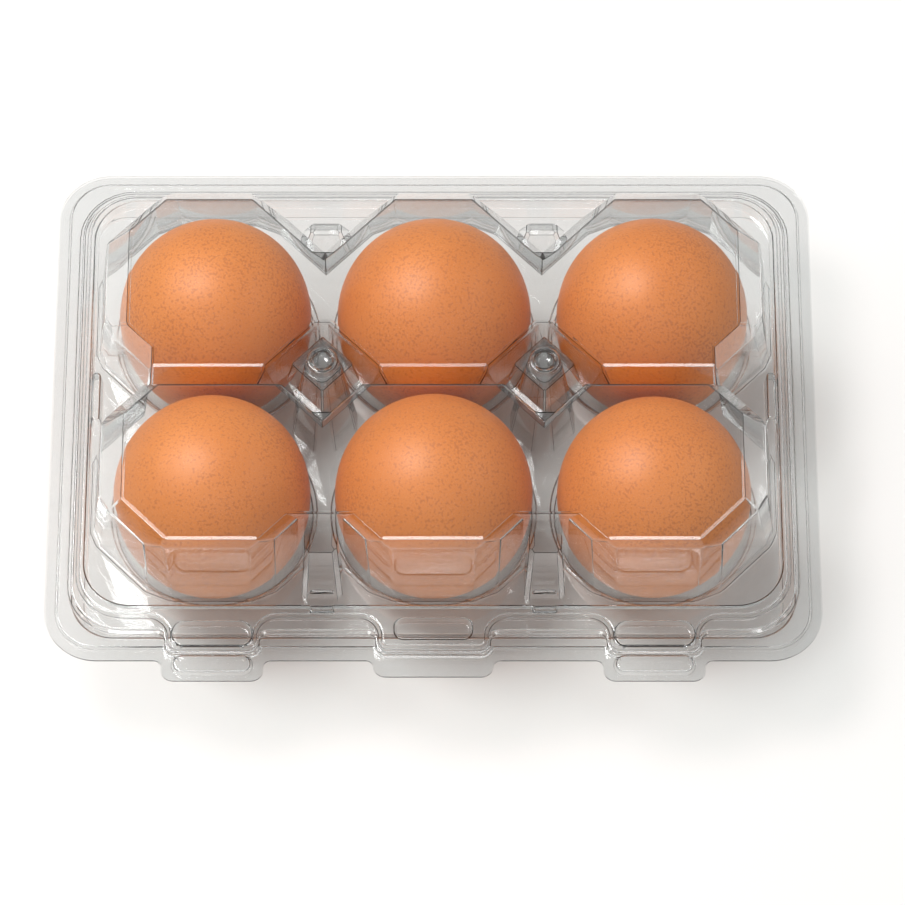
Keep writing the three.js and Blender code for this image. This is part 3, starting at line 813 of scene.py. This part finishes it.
# %% Brown eggshell
shell, tree = new_material("brown_eggshell")
where = add(tree, "TexCoord").outputs["Object"]
tone = add(tree, "TexNoise", {"Scale": 28.0, "Detail": 3.0}, {"Vector": where}).outputs["Fac"]
ramp = add(tree, "ValToRGB", links={0: tone})
for stop, (position, code) in zip(ramp.color_ramp.elements, ((0.3, "#CF7733"), (0.7, "#DA843F"))):
    stop.position, stop.color = position, linear(code)
specks = add(tree, "TexNoise", {"Scale": 1700.0, "Detail": 1.0}, {"Vector": where}).outputs["Fac"]
patches = add(tree, "TexNoise", {"Scale": 60.0, "Detail": 2.0}, {"Vector": where}).outputs["Fac"]
chance = add(tree, "Math", {1: 0.25}, {0: patches, 2: specks}, operation="MULTIPLY_ADD")
speck_from_to = {"From Min": 0.68, "From Max": 0.78, "To Min": 0.0, "To Max": 0.5}
speck = add(tree, "MapRange", speck_from_to, {"Value": chance.outputs[0]}).outputs["Result"]
tones = {"Factor": speck, "A": ramp.outputs[0]}
speckled = add(tree, "Mix", {"B": linear("#A4552A")}, tones, data_type="RGBA")
pores = add(tree, "TexNoise", {"Scale": 1400.0, "Detail": 0.0}, {"Vector": where}).outputs["Fac"]
grain = add(tree, "Bump", {"Strength": 0.35, "Distance": 0.00008}, {"Height": pores})
brown = add(
    tree,
    "BsdfPrincipled",
    {"Roughness": 0.44, "IOR": 1.5, "Specular IOR Level": 0.32},
    {"Base Color": speckled.outputs[2], "Normal": grain.outputs["Normal"]},
)
add(tree, "OutputMaterial", links={"Surface": brown.outputs[0]})
for egg in eggs:
    egg.data.materials.append(shell)
print("eggshell nodes:", len(tree.nodes))

# %% [markdown]
# Table and lamps
#
# The pack stands on a plain pale table. The main lamp hangs high at the back left, so
# that the eggs are brightest at their upper left and the shadow falls forward and right.
# Clear plastic shows only what it mirrors: a narrow strip in front draws the bright line
# along the front creases, a panel on each side does the same for the side creases, and
# a sky that darkens toward the horizon gives the steep walls their grey outlines.

# %% Table
TABLE_HALF = 3
table_corners = [(-1, -1, 0), (1, -1, 0), (1, 1, 0), (-1, 1, 0)]
floor_mesh = bpy.data.meshes.new("floor")
floor_mesh.from_pydata((np.array(table_corners) * TABLE_HALF).tolist(), [], [(0, 1, 2, 3)])
floor = bpy.data.objects.new("floor", floor_mesh)
bpy.context.scene.collection.objects.link(floor)
paper, tree = new_material("white_table")
matt = add(tree, "BsdfPrincipled", {"Base Color": linear("#DFDEDC"), "Roughness": 0.8})
add(tree, "OutputMaterial", links={"Surface": matt.outputs[0]})
floor_mesh.materials.append(paper)
print("table", 2 * TABLE_HALF, "m wide")

# %% Lamps and sky
# Name, place, what it looks at, width and height in metres, and watts.
LAMPS = (
    ("key", (-0.44, 0.25, 1.2), (0, 0, 0.03), (0.5, 0.5), 15.5),
    ("left panel", (-0.85, 0.12, 0.88), (0, 0, 0.03), (0.9, 0.3), 2.8),
    ("right panel", (0.85, 0.12, 0.88), (0, 0, 0.03), (0.9, 0.3), 2.2),
    ("front strip", (0.05, -0.95, 1.33), (0, 0, 0.05), (1.3, 0.17), 4.2),
)
for name, place, target, (width, height), watts in LAMPS:
    lamp = bpy.data.lights.new(name, "AREA")
    lamp.shape = "RECTANGLE"
    lamp.size, lamp.size_y, lamp.energy = width, height, watts
    obj = bpy.data.objects.new(name, lamp)
    obj.location = place
    obj.rotation_euler = (Vector(target) - Vector(place)).to_track_quat("-Z", "Y").to_euler()
    bpy.context.scene.collection.objects.link(obj)

# How high in the sky, 0 at the horizon and 1 overhead, and the grey there.
SKY = ((0, (0.5, 0.5, 0.51, 1)), (0.75, (1, 1, 1, 1)))
world = bpy.data.worlds.new("studio")
bpy.context.scene.world = world
world.use_nodes = True
tree = world.node_tree
tree.nodes.clear()
where = add(tree, "TexCoord").outputs["Generated"]
height = add(tree, "SeparateXYZ", links={0: where}).outputs["Z"]
sky = add(tree, "ValToRGB", links={0: height})
for stop, height_and_grey in zip(sky.color_ramp.elements, SKY):
    stop.position, stop.color = height_and_grey
glow = add(tree, "Background", {"Strength": 0.35}, {"Color": sky.outputs[0]})
add(tree, "OutputWorld", links={"Surface": glow.outputs[0]})
print("lamps:", len(LAMPS), "with", sum(lamp[-1] for lamp in LAMPS), "W in all")

# %% [markdown]
# Camera
#
# The camera looks down at 63 degrees from the front, as one looks at a pack on a
# counter. A long lens from over a metre away keeps the rims nearly parallel. Light that
# crosses two sheets meets eight faces on its way down and back, so paths through clear
# plastic may be longer than usual, while scattered light needs only two turns.

# %% Camera
ELEVATION, DISTANCE, TARGET = 63.0, 1.181, Vector((0.00430, -0.00908, 0.030))
PICTURE_WIDTH, FOCAL_PIXELS = 905, 5185
camera_data = bpy.data.cameras.new("camera")
camera = bpy.data.objects.new("camera", camera_data)
bpy.context.scene.collection.objects.link(camera)
camera_data.lens = camera_data.sensor_width * FOCAL_PIXELS / PICTURE_WIDTH
back_off = Vector((0, -math.cos(math.radians(ELEVATION)), math.sin(math.radians(ELEVATION))))
camera.location = TARGET + back_off * DISTANCE
camera.rotation_euler = (-back_off).to_track_quat("-Z", "Y").to_euler()
bpy.context.scene.camera = camera
bpy.context.scene.view_settings.view_transform = "Standard"
print("lens", round(camera_data.lens), "mm at", DISTANCE, "m")

# %% Light paths
CLEAR_TURNS, SOFT_TURNS = 9, 2
cycles = bpy.context.scene.cycles
cycles.max_bounces = cycles.transmission_bounces = CLEAR_TURNS
cycles.transparent_max_bounces = CLEAR_TURNS
cycles.diffuse_bounces = SOFT_TURNS
print("turns of light through clear plastic:", CLEAR_TURNS)
